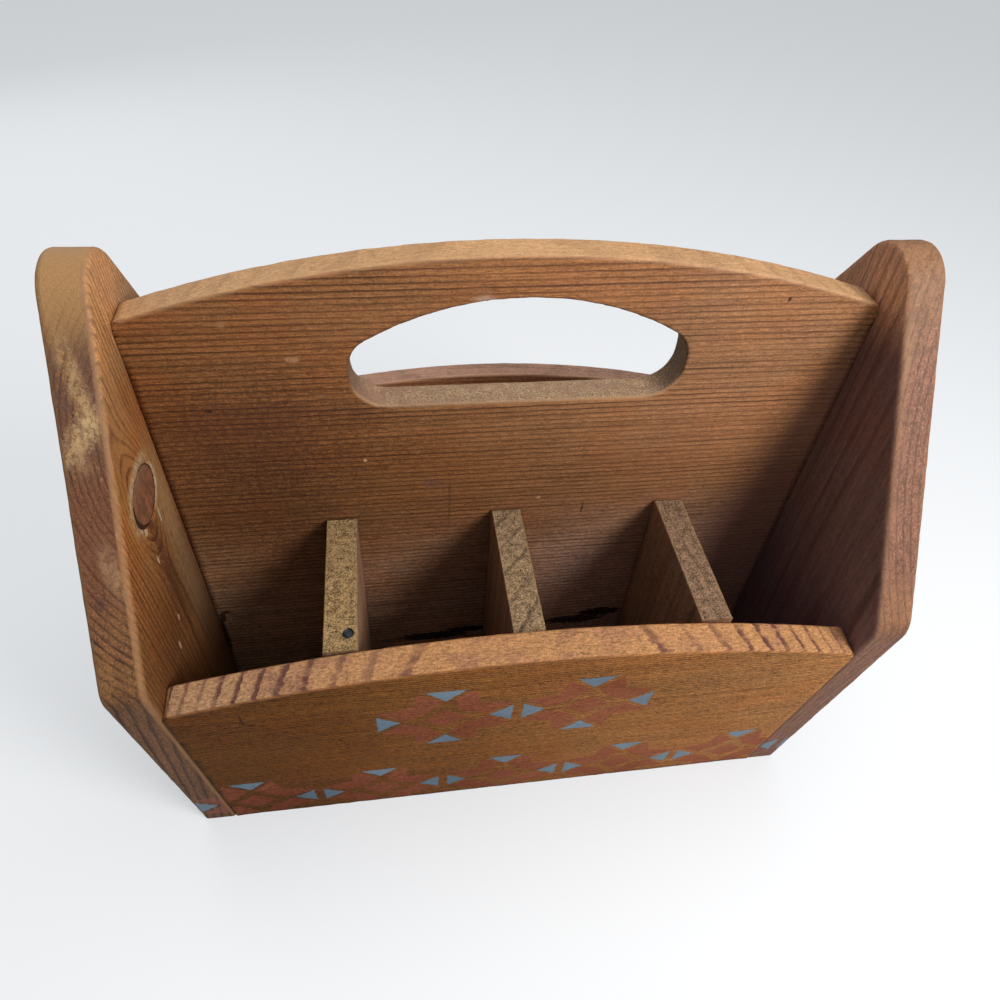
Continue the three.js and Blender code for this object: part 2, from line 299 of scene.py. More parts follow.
def copied_board(node, name, cell=2.5):
    """A copy of a board's solid, merged and cut into small cells, each point of which knows how far
    it is from the nearest arris, so that the arrises can be worn down. An arris is an edge where the
    faces turn by more than sharp_turn. cell is the size of a cell in mm."""
    sharp_turn = math.radians(20)
    bpy.ops.object.select_all(action="DESELECT")
    frame["nodes"][node].select_set(True)
    bpy.context.view_layer.objects.active = frame["nodes"][node]
    bpy.ops.object.duplicate()
    board = bpy.context.active_object
    board.name = name
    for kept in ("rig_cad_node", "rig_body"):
        del board[kept]
    board.parent = None
    board.data.materials.clear()
    bpy.ops.mesh.customdata_custom_splitnormals_clear()
    bpy.ops.object.mode_set(mode="EDIT")
    bpy.ops.mesh.select_all(action="SELECT")
    bpy.ops.mesh.remove_doubles(threshold=0.001 * mm)
    bpy.ops.mesh.dissolve_limited(angle_limit=math.radians(0.3))
    bpy.ops.object.mode_set(mode="OBJECT")
    faces_at = {}
    for face in board.data.polygons:
        for pair in face.edge_keys:
            faces_at.setdefault(pair, []).append(face.normal)
    sharp = []
    for (first, second), normals in faces_at.items():
        if len(normals) == 2 and normals[0].angle(normals[1]) > sharp_turn:
            start = board.data.vertices[first].co
            end = board.data.vertices[second].co
            pieces = max(1, math.ceil((end - start).length / mm))
            sharp += [start.lerp(end, step / pieces) for step in range(pieces + 1)]
    arrises = KDTree(len(sharp))
    for index, point in enumerate(sharp):
        arrises.insert(point, index)
    arrises.balance()
    bpy.ops.object.mode_set(mode="EDIT")
    lowest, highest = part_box(node)
    for axis in range(3):
        cells = round((highest[axis] - lowest[axis]) / (cell * mm))
        normal = [0.0, 0.0, 0.0]
        normal[axis] = 1.0
        for step in range(1, cells):
            cut_at = [0.0, 0.0, 0.0]
            cut_at[axis] = lowest[axis] + (highest[axis] - lowest[axis]) * step / cells
            bpy.ops.mesh.select_all(action="SELECT")
            bpy.ops.mesh.bisect(plane_co=cut_at, plane_no=normal)
    bpy.ops.object.mode_set(mode="OBJECT")
    distance = board.data.attributes.new("arris", "FLOAT", "POINT")
    for vertex in board.data.vertices:
        distance.data[vertex.index].value = arrises.find(vertex.co)[2] / mm
    return board


def pressed(board, name, weight_at, depth, texture=None, direction="NORMAL"):
    """Moves the surface inwards by depth in mm, where weight_at of a point in mm says so."""
    group = board.vertex_groups.new(name=name)
    arris = board.data.attributes["arris"].data
    for vertex in board.data.vertices:
        weight = weight_at(vertex.co / mm, arris[vertex.index].value)
        if weight > 0:
            group.add([vertex.index], min(weight, 1.0), "REPLACE")
    dent = board.modifiers.new(name, "DISPLACE")
    dent.vertex_group = group.name
    dent.direction = direction
    dent.mid_level = 1.0 if texture else 0.0
    dent.strength = depth * mm if texture else -depth * mm
    if texture:
        dent.texture = texture
        dent.texture_coords = "LOCAL"
    bpy.context.view_layer.objects.active = board
    bpy.ops.object.modifier_apply(modifier=dent.name)
    board.vertex_groups.remove(board.vertex_groups[name])


def finer(board, inside, cuts):
    """Cuts the cells whose middle, in mm, is inside into smaller ones."""
    bpy.ops.object.select_all(action="DESELECT")
    board.select_set(True)
    bpy.context.view_layer.objects.active = board
    bpy.ops.object.mode_set(mode="EDIT")
    bpy.ops.mesh.select_all(action="DESELECT")
    bpy.ops.object.mode_set(mode="OBJECT")
    for face in board.data.polygons:
        face.select = inside(face.center / mm, face.normal)
    bpy.ops.object.mode_set(mode="EDIT")
    bpy.ops.mesh.subdivide(number_cuts=cuts)
    bpy.ops.object.mode_set(mode="OBJECT")


def soft_clouds(name, size):
    """Soft lumps, so many mm across, for pressing a surface in unevenly."""
    clouds = bpy.data.textures.new(name, "CLOUDS")
    clouds.noise_scale = size * mm
    clouds.noise_depth = 2
    return clouds


rub = soft_clouds("rub", 5.0)
plane_marks = soft_clouds("plane_marks", 38.0)
fuzz = soft_clouds("fuzz", 0.9)


def worn(board, free, soften=0.3, uneven=0.16):
    """Years of handling: the arrises rub down unevenly, and the faces are never quite flat. free says
    how far, from 0 to 1, a point is from the joints, which stay tight. soften and uneven are how deep
    the two go, in mm."""
    pressed(board, "rubbed", lambda point, away: free(point) * (1 - away / 2.2), soften, rub)
    pressed(board, "uneven", lambda point, away: free(point), uneven, plane_marks)
    board.modifiers.new("crisp", "WEIGHTED_NORMAL")
    bpy.ops.object.select_all(action="DESELECT")
    board.select_set(True)
    bpy.context.view_layer.objects.active = board
    bpy.ops.object.shade_smooth_by_angle(angle=math.radians(50))
    bpy.ops.object.modifier_apply(modifier="crisp")


def fitted(board, node, material):
    """The finished board takes the place of its solid and goes with it."""
    board.data.materials.append(material)
    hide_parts(node)
    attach(board, "root")


def clear_of_panels(point):
    """How free a point of a long board is from the joints at its ends, from 0 to 1."""
    return min(1.0, (129.4 - abs(point.x)) / 4)


# How far the leaning boards tilt, and how far in mm their feet stand out from the sorter's middle.
lean = math.radians(7.12)
foot = 65.75
# The pattern's two rows, in mm: how far up the board the middle of a row lies, how far to the side the
# middle of one of its patches, and where the row starts and ends.
upper_row = (99.8, 25.5, -60.0, 54.0)
lower_row = (19.3, -3.0, -150.0, 150.0)


def stencil(wood, row_middle, column_middle, first, last):
    """The rust paint and the blue paint of one row of patches on the leaning front, each 0 to 1. A patch
    is folded on its middle lines and its diagonal, so that an eighth of it gives the whole: far is the
    greater of the two distances from its middle lines in mm, and near the lesser one."""
    pitch = 57.0
    half_patch = 28.4
    columns = (wood.x - column_middle) / pitch
    up_face = wood.z * math.cos(lean) - (wood.y + foot) * math.sin(lean)
    aside_patch = abs(wood.x - column_middle - columns.maths("ROUND", columns) * pitch)
    above_patch = abs(up_face - row_middle)
    far = aside_patch.most(above_patch)
    near = aside_patch.least(above_patch)
    # A rust point by its corners, the small rust square in the middle, and the blue triangle: how far
    # inside each of them a place lies, in mm.
    corners = ((13.3, 13.3), (10.4, 25.2), (2.0, 16.6), (7.2, 7.2))
    square_corner = 8.6
    triangle_base, triangle_tip, side_rise, side_run = 26.4, 17.4, 0.643, 0.766
    point = None
    for start, end in zip(corners, corners[1:]):
        run, climb = end[0] - start[0], end[1] - start[1]
        inside = ((far - start[1]) * run - (near - start[0]) * climb) / math.hypot(run, climb)
        point = inside if point is None else point.least(inside)
    square = (square_corner - (near + far)) * 0.707
    blue = (triangle_base - far).least((far - triangle_tip) * side_rise - near * side_run)
    rough_edge = wood.ragged * 0.5 + wood.fleck * 1.3
    depth = wood.z * math.sin(lean) + (wood.y + foot) * math.cos(lean)
    shown = (wood.x - first).band(0.0, 0.1) * (last - wood.x).band(0.0, 0.1) * depth.band(0.9, 0.5)
    shown = shown * (half_patch - far).band(0.0, 0.2) * (1.0 - wood.rubbed * 0.7)
    rust_paint = (point.most(square) + rough_edge + 0.2).band(-0.5, 0.4) * shown
    return rust_paint, (blue + rough_edge).band(-0.4, 0.4) * shown


def painted(wood, colour, rust_paint, blue_paint):
    """The colour with the two thin paints on it: the wood shows through the rust, and hardly the blue."""
    rust_tone = wood.drift.band(-0.2, 0.2).blend(tone(134, 70, 50), tone(158, 90, 70))
    rust_tone = rust_tone.tinted(1.0 + wood.grain * 0.5)
    colour = (rust_paint * (0.72 + wood.grain * 0.5 - wood.rings * 0.2)).blend(colour, rust_tone)
    blue_tone = wood.drift.band(-0.2, 0.2).blend(tone(106, 126, 142), tone(126, 148, 164))
    return (blue_paint * (0.9 + wood.grain * 0.3)).blend(colour, blue_tone)


left_panel = copied_board("left_side_panel", "left_panel")
# The knot lies on the inner face, wider than it is high, and only the face's skin is pressed. All in mm.
inner_side = -130.0
inner_skin = -130.8
panel_middle = 137.5
knot_middle = Vector((inner_side, -27.8, 180.3))
knot_reach = (12.8, 9.6)


def knot_share(point):
    """How far out from the knot's middle a point lies, from 0 to 1 at its rim, and which way."""
    side = (point.y - knot_middle.y) / knot_reach[0]
    rise = (point.z - knot_middle.z) / knot_reach[1]
    return math.hypot(side, rise), math.atan2(rise, side)


def beside_knot(point, normal):
    return point.x > -130.6 and normal.x > 0.5 and knot_share(point)[0] < 1.45


def knot_gap(point, away):
    share, way = knot_share(point)
    if point.x < inner_skin:
        return 0.0
    width = 0.055 + 0.11 * max(0.0, math.cos(way - math.radians(190))) ** 3
    return max(0.0, 1 - ((share - 1.0 + width / 2) / width) ** 2)


def knot_crust(point, away):
    share, way = knot_share(point)
    return 0.0 if point.x < inner_skin else max(0.0, 1 - abs(share - 1.2) / 0.13)


finer(left_panel, beside_knot, 3)
pressed(left_panel, "crust", knot_crust, -0.2)
pressed(left_panel, "gap", knot_gap, 0.35)
pressed(left_panel, "core", lambda point, away: float(
    point.x > inner_skin and knot_share(point)[0] < 0.93
), 0.08)
worn(left_panel, lambda point: min(1.0, abs(point.x + 129.6) / 3), 0.35)
left = pine(
    "pine_left_panel", (0.0, -0.06, 1.0), (-114.0, -34.0, 175.0), 1.85, (158, 102, 56), (88, 50, 28),
    line=0.5, waver=0.9, contrast=1.0, knot=tuple(knot_middle),
)
left_sawn = (6.9 - abs(left.x + panel_middle)).band(-0.5, 0.9)
# The inner face is painted dark low down and light towards the top, as painted shade and light, and paler in
# hue at the top.
left_face = (left.z.band(195.0, 235.0) * 0.75).blend(left.colour, left.colour.stretched((0.9, 1.25, 1.75)))
left_face = left_face.tinted(0.46 + left.z.band(120.0, 205.0) * 0.4 + left.z.band(210.0, 248.0) * 0.8)
left_face = marked(left, left_face, (
    # Dark wood below the knot.
    ((inner_side, -31.5, 161.0), (6.0, 3.4, 13.0), (72, 42, 33), 0.7, 0.8),
    ((inner_side, -33.5, 140.0), (6.0, 5.0, 20.0), (80, 44, 28), 0.6, 1.0),
    # Pale sapwood behind it, grey with dust at the bottom.
    ((inner_side, -17.0, 140.0), (6.0, 8.0, 34.0), (150, 116, 80), 0.7, 0.7),
    ((inner_side, -14.0, 170.0), (6.0, 7.0, 22.0), (168, 130, 88), 0.65, 0.7),
    ((inner_side, -14.0, 100.0), (6.0, 12.0, 26.0), (84, 68, 56), 0.6, 1.0),
    # Golden wood above the knot and in front of it, and a darker patch low down.
    ((inner_side, -26.0, 208.0), (6.0, 9.0, 12.0), (178, 132, 84), 0.4, 1.0),
    ((inner_side, -44.0, 186.0), (6.0, 4.0, 26.0), (176, 124, 62), 0.4, 1.0),
    ((inner_side, -56.0, 130.0), (6.0, 9.0, 20.0), (94, 54, 30), 0.35, 1.2),
    # Small pale nicks.
    ((inner_side, -37.0, 157.4), (3.0, 0.7, 1.9), (204, 166, 138), 0.8),
    ((inner_side, -39.9, 127.0), (3.0, 0.7, 1.7), (196, 158, 132), 0.8),
    ((inner_side, -47.7, 119.7), (3.0, 0.9, 2.2), (196, 158, 132), 0.8),
    # Crumbs of pale resin at the knot's rim.
    ((inner_side, -39.4, 176.4), (3.0, 1.2, 2.2), (190, 176, 140), 0.8),
    ((inner_side, -37.6, 172.4), (3.0, 1.6, 1.6), (190, 176, 140), 0.7),
    ((inner_side, -22.5, 166.0), (3.0, 0.8, 4.0), (196, 184, 152), 0.7),
))
# The knot itself: a ringed core in a dark gap, and pale crust round it, thickest above and behind.
knot_side = (left.y - knot_middle.y) / knot_reach[0]
knot_rise = (left.z - knot_middle.z) / knot_reach[1]
knot_out = knot_side.maths("SQRT", knot_side * knot_side + knot_rise * knot_rise)
knot_here = (left.x + 133.0).band(0.0, 1.0)
knot_ragged = knot_out + left.ragged * 0.06
crust_above = (knot_rise * 0.95 - knot_side * 0.2 + left.ragged * 0.4).band(0.4, 1.1) * knot_out.band(1.6, 1.1)
crust_behind = (knot_side * 0.95 - knot_rise * 0.3 + left.ragged * 0.4).band(0.5, 1.0)
crust_behind = crust_behind * knot_out.band(1.13, 1.07)
crust_halo = (0.0 - knot_side * 0.8 + knot_rise * 0.5).band(0.1, 1.1) * knot_out.band(1.5, 1.05) * 0.6
crust = crust_above.most(crust_behind).most(crust_halo)
crust = crust * (0.3 + left.mottle * 0.7) * knot_ragged.band(0.99, 1.04)
left_face = (crust * knot_here * 0.85).blend(left_face, tone(188, 174, 136))
core_drift = left.place.cloud((0.2, 0.3, 0.12), 4.0, 0.7).band(0.4, 0.6)
core_rings = left.place.node("TexNoise", {"noise_dimensions": "1D"}, {"W": knot_ragged * 16.0, "Scale": 1.0})
core = core_drift.blend(tone(146, 90, 60), tone(108, 74, 54)).tinted(0.8 + core_rings * 0.35 + left.grain * 0.6)
core = ((knot_rise + left.ragged * 0.4).band(0.1, 0.9) * 0.6).blend(core, tone(116, 90, 70))
left_face = (knot_ragged.band(0.985, 0.94) * knot_here).blend(left_face, core)
gap_width = 0.035 + 0.15 * (0.0 - knot_side * 0.97 - knot_rise * 0.25).band(0.45, 1.0)
gap_middle = 1.0 - gap_width * 0.5
gap = (abs(knot_out + left.ragged * 0.02 - gap_middle) / gap_width).band(0.75, 0.4) * knot_here
left_face = gap.blend(left_face, tone(30, 19, 15))
# The sawn edge: dull brown in the middle, redder below it and pale at the top, from 160 mm up.
left_edge = (left.rings * 1.3).least(1.0).blend(tone(116, 76, 46), tone(54, 31, 21)).tinted(left.shade)
left_mottle = left.place.cloud((0.3, 0.3, 0.3), 4.0, 0.75).band(0.4, 0.56)
left_dull_part = left.z.band(246.0, 234.0) * left.z.band(198.0, 207.0) * left_mottle * 0.75
left_edge = left_dull_part.blend(left_edge, tone(96, 64, 50))
left_edge = (left.z.band(160.0, 180.0) * left.z.band(206.0, 198.0) * 0.6).blend(left_edge, tone(106, 62, 42))
left_edge = (left.z.band(229.0, 248.0) * 0.75).blend(left_edge, tone(176, 133, 85))
left_edge = marked(left, left_edge, (
    # Dark, handled wood beside the scrape.
    ((-141.0, -30.0, 222.0), (2.4, 20.0, 4.0), (98, 68, 56), 0.6, 1.0),
    ((-134.0, -21.0, 234.0), (2.4, 20.0, 3.0), (104, 74, 58), 0.5, 1.0),
    ((-131.6, -27.0, 226.0), (1.2, 20.0, 6.0), (98, 68, 54), 0.6, 1.0),
    # A pale scrape that runs down and across the edge.
    ((-139.6, -22.0, 234.0), (1.9, 20.0, 5.0), (174, 136, 92), 0.7, 1.0),
    ((-137.1, -26.5, 227.0), (1.9, 20.0, 5.0), (182, 146, 102), 0.85, 0.95),
    ((-135.0, -31.0, 221.0), (2.0, 20.0, 4.0), (182, 146, 102), 0.85, 0.95),
    ((-133.2, -33.0, 217.4), (2.2, 20.0, 3.4), (178, 142, 98), 0.85, 0.95),
    ((-136.0, -34.5, 215.2), (2.8, 20.0, 3.6), (196, 162, 114), 0.95, 0.8),
    ((-139.0, -36.5, 212.2), (2.8, 20.0, 3.4), (188, 152, 108), 0.9, 0.9),
    ((-142.2, -38.6, 209.0), (2.4, 20.0, 3.0), (178, 142, 100), 0.85, 0.95),
    ((-138.2, -39.5, 207.5), (2.0, 20.0, 3.4), (166, 128, 90), 0.6, 1.0),
    # A chip of the arris, and a paler place below it.
    ((-131.6, -52.8, 187.6), (0.5, 20.0, 1.4), (178, 142, 108), 0.6),
    ((-136.3, -56.6, 181.8), (1.8, 20.0, 4.0), (156, 118, 86), 0.6, 1.0),
    ((-134.4, -59.0, 178.0), (2.2, 20.0, 5.0), (164, 126, 92), 0.65, 1.0),
    ((-132.8, -61.6, 174.3), (1.6, 20.0, 4.0), (160, 122, 84), 0.6, 0.9),
    # A dark spot, and golden wood towards the shoulder.
    ((-139.4, -64.7, 169.6), (1.9, 20.0, 2.2), (58, 36, 38), 0.6, 0.8),
    ((-136.0, -68.0, 163.0), (4.0, 20.0, 4.0), (138, 98, 54), 0.35, 1.0),
    ((-141.7, -80.0, 147.0), (3.4, 20.0, 7.0), (148, 106, 56), 0.55, 0.9),
    ((-133.0, -78.0, 146.0), (3.0, 20.0, 8.0), (138, 96, 50), 0.35, 1.0),
))
left_arris = abs(left.x + 131.3).band(1.2, 0.4) * abs(left.y).band(3.0, 6.0)
left_arris_tone = left.z.band(190.0, 215.0).blend(tone(150, 104, 62), tone(140, 98, 72))
left_edge = (left_arris * 0.6).blend(left_edge, left_arris_tone)
left_edge = left_edge.tinted(1.0 + left.grain * left.z.band(245.0, 215.0) * 0.4)
left_colour = left_sawn.blend(left_face, left_edge)
left_colour = (left.rubbed * 0.5).blend(left_colour, tone(150, 110, 72))
# Painted shade darkens the inner face low down, and the lower row of the pattern runs on over the edge.
left_low_shade = (left.z + left.ragged * 6.0).band(90.0, 10.0) * (left.x + 131.2).band(0.0, 0.8)
left_colour = (left_low_shade * 0.65).blend(left_colour, tone(44, 28, 20))
left_colour = painted(left, left_colour, *stencil(left, *lower_row))
left_dull = 0.5 + left.fibre * 0.3 + left_sawn * 0.12
lay(left, left_colour, left_dull, left.height + left_sawn * left.fine * 0.1)
fitted(left_panel, "left_side_panel", left.material)

# Right side panel: the mirror twin of the left one, cut from a pinker board of flatter grain.
right_panel = copied_board("right_side_panel", "right_panel")
worn(right_panel, lambda point: min(1.0, abs(point.x - 129.6) / 3), 0.4)
right = pine(
    "pine_right_panel", (0.0, 0.04, 1.0), (200.0, -55.0, 120.0), 2.8, (118, 86, 78), (84, 54, 46),
    line=0.62, waver=0.4, contrast=0.8, rough=0.7,
)
right_sawn = (6.7 - abs(right.x - panel_middle)).band(-0.3, 0.6)
right_edge = (right.rings * 1.3).least(1.0).blend(tone(128, 86, 64), tone(82, 50, 40)).tinted(right.shade)
right_edge = (right.z.band(222.0, 246.0) * 0.5).blend(right_edge, tone(144, 106, 70))
right_mottle = right.place.cloud((0.3, 0.3, 0.12), 4.0, 0.75).band(0.46, 0.6)
right_edge = (right_mottle * 0.35).blend(right_edge.tinted(1.06), tone(92, 58, 40))
right_edge = marked(right, right_edge.tinted(1.0 + right.grain * 0.7), (
    ((132.2, -26.0, 228.0), (2.0, 20.0, 7.0), (160, 124, 82), 0.6, 0.9),
    ((132.6, -36.0, 210.0), (1.8, 20.0, 14.0), (148, 108, 70), 0.45, 1.0),
    ((132.4, -62.0, 172.0), (1.6, 20.0, 16.0), (142, 100, 74), 0.4, 1.0),
    ((137.0, -78.0, 148.0), (8.0, 14.0, 9.0), (140, 98, 62), 0.6, 0.9),
))
# The inner face is painted lighter above the centre board as painted light, and darker and bluer low down as
# painted shade; the outer one is even.
right_painted_light_top = (right.z + (right.y + 20.0) * 0.4).band(220.0, 246.0)
right_face = right_painted_light_top.blend(right.colour, right.colour.stretched((2.9, 2.8, 1.8)))
right_face = right.z.band(150.0, 90.0).blend(right_face, right_face.stretched((0.68, 0.78, 1.12)))
right_face = right.x.band(134.0, 136.0).blend(right_face, right.colour.stretched((1.55, 1.45, 1.2)))
right_colour = right_sawn.blend(right_face, right_edge)
right_colour = (right.rubbed * 0.4).blend(right_colour, tone(148, 106, 74))
# Painted shade darkens the inner face low down.
right_low_shade = (right.z + right.ragged * 6.0).band(90.0, 10.0) * (131.2 - right.x).band(0.0, 0.8)
right_colour = (right_low_shade * 0.6).blend(right_colour, tone(44, 28, 22))
right_colour = painted(right, right_colour, *stencil(right, *lower_row))
lay(right, right_colour, 0.55 + right.fibre * 0.3, right.height)
fitted(right_panel, "right_side_panel", right.material)

# Bottom board: plain half-inch pine between the side panels, which the dividers stand on.
bottom = copied_board("bottom_board", "floor_board", 5.0)
worn(bottom, clear_of_panels, 0.2, 0.1)
base = pine("pine_floor_board", (1.0, 0.0, 0.0), (0.0, 30.0, -90.0), 2.4, (126, 84, 54), (84, 52, 32))
# Its upper face, the compartments' floor, is painted dark as shade.
base_top_painted_shade = (base.z + base.ragged * 2.0).band(8.0, 12.0)
lay(base, (base_top_painted_shade * 0.7).blend(base.colour, tone(46, 32, 24)), 0.7, base.height)
fitted(bottom, "bottom_board", base.material)

# Centre board: the tall crowned board with the hand hole, grain running along it, rings edge on. Its
# hole is sawn and left rough, and hands have worn its top edge pale.
centre_board = copied_board("centre_board", "centre_board_worn")


def hole_surface(point, normal):
    return abs(point.y) < 6.2 and 190 < point.z < 241 and abs(normal.y) < 0.7 and abs(point.x) < 66


finer(centre_board, hole_surface, 2)
pressed(centre_board, "sawn", lambda point, away: float(
    abs(point.y) < 5.8 and 190 < point.z < 242 and abs(point.x) < 64
), 0.3, fuzz)
pressed(centre_board, "crumbled", lambda point, away: (
    (1 - away / 1.6) * max(0.0, 1 - abs(point.x + 13) / 5) * float(230 < point.z < 243 and point.y < 0)
), 0.6, fuzz)
worn(centre_board, clear_of_panels, 0.4)
centre = pine(
    "pine_centre_board", (1.0, 0.0, 0.006), (0.0, 30.0, -160.0), 2.35, (153, 103, 64), (68, 37, 22),
    line=0.52, waver=0.7, contrast=1.0, bow=4.0, rough=0.85,
)
# Painted light: the board is painted lighter and lighter towards its top right, where the light falls, its
# rings fainter and its hue cooler towards the right.
centre_painted_light = ((centre.x + 130.0) * 0.0029 + (centre.z - 150.0) * 0.0043).band(0.0, 1.2)
centre_side = centre.x.band(-110.0, 110.0)
centre_pale = (centre_side * 0.15).blend(centre.colour, tone(146, 98, 60)).tinted(1.0 + centre.grain * 0.2)
centre_colour = centre_side.blend(
    centre_pale.stretched((1.0, 0.93, 0.76)), centre_pale.stretched((1.0, 1.08, 1.24)),
).tinted(0.59 + centre_painted_light * 0.58)
# Its front is painted lighter and greyer low in the compartments, partly dust and partly painted fill light, a
# little darker lower down as painted shade, and with a purplish painted shadow in the corner by the right
# panel.
centre_front = (0.0 - centre.y).band(5.6, 6.2)
centre_low = (centre.z + centre.ragged * 8.0).band(155.0, 65.0) * centre_front
centre_dust_and_fill_light = centre_colour.stretched((2.2, 3.1, 5.9)).tinted(1.0 + centre.grain * 0.6)
centre_colour = (centre_low * 0.85).blend(centre_colour, centre_dust_and_fill_light)
# Painted shade, darker lower down.
centre_colour = centre_colour.tinted(0.86 + centre.z.band(100.0, 188.0) * 0.14)
# The painted shadow in the corner by the right panel.
centre_corner_shadow = (centre.x - centre.z * 0.28).band(52.0, 76.0) * centre.z.band(232.0, 205.0) * centre_front
centre_colour = (centre_corner_shadow * 0.5).blend(centre_colour, tone(124, 84, 78))
centre_colour = marked(centre, centre_colour, (
    # Dark wood at the left.
    ((-98.0, -6.3, 186.0), (42.0, 3.0, 24.0), (76, 42, 26), 0.65, 0.8),
    # Painted shade to the left of the left divider.
    ((-92.0, -6.3, 148.0), (28.0, 3.0, 22.0), (74, 44, 30), 0.5, 0.9),
    # Pale scuffs and nicks.
    ((-77.0, -6.3, 218.7), (2.4, 2.0, 1.1), (176, 130, 88), 0.8, 0.5),
    ((-97.4, -6.3, 232.6), (1.4, 2.0, 1.2), (166, 122, 82), 0.6, 0.6),
    ((-70.0, -6.3, 203.2), (1.6, 2.0, 0.9), (150, 106, 70), 0.55, 0.6),
    ((-56.5, -6.3, 171.9), (0.7, 2.0, 0.7), (200, 160, 120), 0.85),
    ((13.6, -6.3, 146.0), (0.9, 2.0, 0.7), (186, 146, 108), 0.85),
    # A dull spot, dark specks and scratches, and a reddish streak.
    ((-31.2, -6.3, 158.3), (2.8, 2.0, 3.0), (100, 68, 66), 0.5, 0.9),
    ((93.5, -6.3, 237.6), (0.6, 2.0, 1.1), (48, 28, 18), 0.9),
    ((-108.0, -6.3, 198.2), (1.4, 2.0, 0.8), (46, 28, 18), 0.85, 0.6),
    ((33.6, -6.3, 138.8), (0.5, 2.0, 3.4), (58, 36, 24), 0.8),
    ((55.0, -6.3, 176.3), (15.0, 2.0, 0.8), (120, 62, 44), 0.4, 1.0),
    ((-24.0, -6.3, 148.0), (0.45, 2.0, 14.0), (62, 40, 28), 0.5, 0.6),
    # Splits: one hooked, by the left panel, and two along the grain, low down.
    ((-127.4, -6.3, 79.0), (1.1, 2.0, 3.0), (10, 8, 8), 0.95),
    ((-125.9, -6.3, 82.4), (1.9, 2.0, 0.7), (10, 8, 8), 0.95),
    ((-128.6, -6.3, 66.0), (0.9, 2.0, 14.0), (12, 9, 9), 0.9),
    ((-31.0, -6.3, 50.0), (17.0, 2.0, 3.2), (8, 7, 7), 1.0, 0.2),
    ((-14.0, -6.3, 53.5), (10.0, 2.0, 2.6), (8, 7, 7), 1.0, 0.2),
    ((41.0, -6.3, 54.5), (15.0, 2.0, 3.0), (8, 7, 7), 1.0, 0.2),
    ((54.0, -6.3, 59.5), (11.0, 2.0, 3.4), (8, 7, 7), 1.0, 0.2),
))
# The top edge and the inside of the hand hole, by how far they lie below the crown. The crown is as
# high as the first number and falls off with the square of the distance from its middle.
centre_top = 255.2 - centre.x * centre.x * 0.001243
centre_sawn = (5.9 - abs(centre.y)).band(-0.1, 0.5)
on_top = centre_sawn * (centre.z - centre_top).band(-6.0, -4.0)
in_hole = centre_sawn * (centre.z - centre_top).band(-4.0, -6.0) * centre.z.band(180.0, 190.0)
top_colour = (centre.rings * 0.35).blend(tone(181, 138, 95), tone(132, 90, 62)).tinted(
    1.02 - centre.x.band(-20.0, 110.0) * 0.1 + centre.grain * 0.8 + centre.drift * 0.6 + centre.fibre * 0.8)
centre_colour = on_top.blend(centre_colour, top_colour)
speckle = centre.place.cloud((1.5, 1.5, 1.5), 4.0, 0.85).band(0.32, 0.66)
hole_colour = speckle.blend(tone(98, 70, 50), tone(210, 174, 134))
hole_patches = centre.place.cloud((0.22, 0.22, 0.22), 3.0, 0.6).band(0.42, 0.6)
hole_colour = (hole_patches * 0.5).blend(hole_colour, tone(152, 112, 92))
hole_colour = (centre.x.band(-25.0, -55.0) * 0.3).blend(hole_colour, tone(170, 122, 100))
hole_colour = (abs(centre.x - 1.4).band(52.0, 60.0) * 0.5).blend(hole_colour, tone(96, 70, 50))
centre_colour = in_hole.blend(centre_colour, hole_colour)
centre_arris_wear_and_shade = centre.rubbed * centre.z.band(185.0, 195.0) * abs(centre.x).band(129.0, 126.0)
hole_rim_shade = (centre.z - centre_top).band(-6.0, -8.0) * centre.z.band(203.0, 209.0)
# Its arrises are rubbed pale, but the hole's upper one is painted dark as shade under its rounded arris, with a
# crumbled place in its middle.
rubbed_and_shaded_tone = hole_rim_shade.blend(tone(184, 142, 102), tone(74, 44, 34))
centre_colour = (centre_arris_wear_and_shade * 0.4).blend(centre_colour, rubbed_and_shaded_tone)
centre_colour = marked(centre, centre_colour, (
    ((-13.0, -6.3, 239.8), (3.8, 2.6, 1.2), (186, 150, 124), 0.9, 0.6),
))
lay(
    centre, centre_colour, 0.52 + centre.fibre * 0.3 + centre_sawn * 0.2,
    centre.height + in_hole * speckle * 0.15,
)
fitted(centre_board, "centre_board", centre.material)

# Back board: closes the undivided space behind, leans out and is crowned like the front one.
back_board = copied_board("back_board", "back_board_worn")
worn(back_board, clear_of_panels, 0.3)
back = pine(
    "pine_back_board", (1.0, 0.0, 0.0), (0.0, 30.0, -160.0), 2.2, (150, 102, 68), (100, 62, 42),
)
back_depth = back.z * math.sin(lean) - (back.y - foot) * math.cos(lean)
back_sawn = (5.8 - abs(back_depth - 6.35)).band(-0.1, 0.5) * back.z.band(90.0, 100.0)
back_top = (back.rings * 0.6).blend(tone(164, 122, 99), tone(130, 92, 76)).tinted(back.shade)
back_colour = back_sawn.blend(back.colour, back_top)
back_colour = (back.rubbed * 0.3 * abs(back.x).band(129.0, 126.0)).blend(back_colour, tone(200, 158, 126))
lay(back, back_colour, 0.55, back.height)
fitted(back_board, "back_board", back.material)

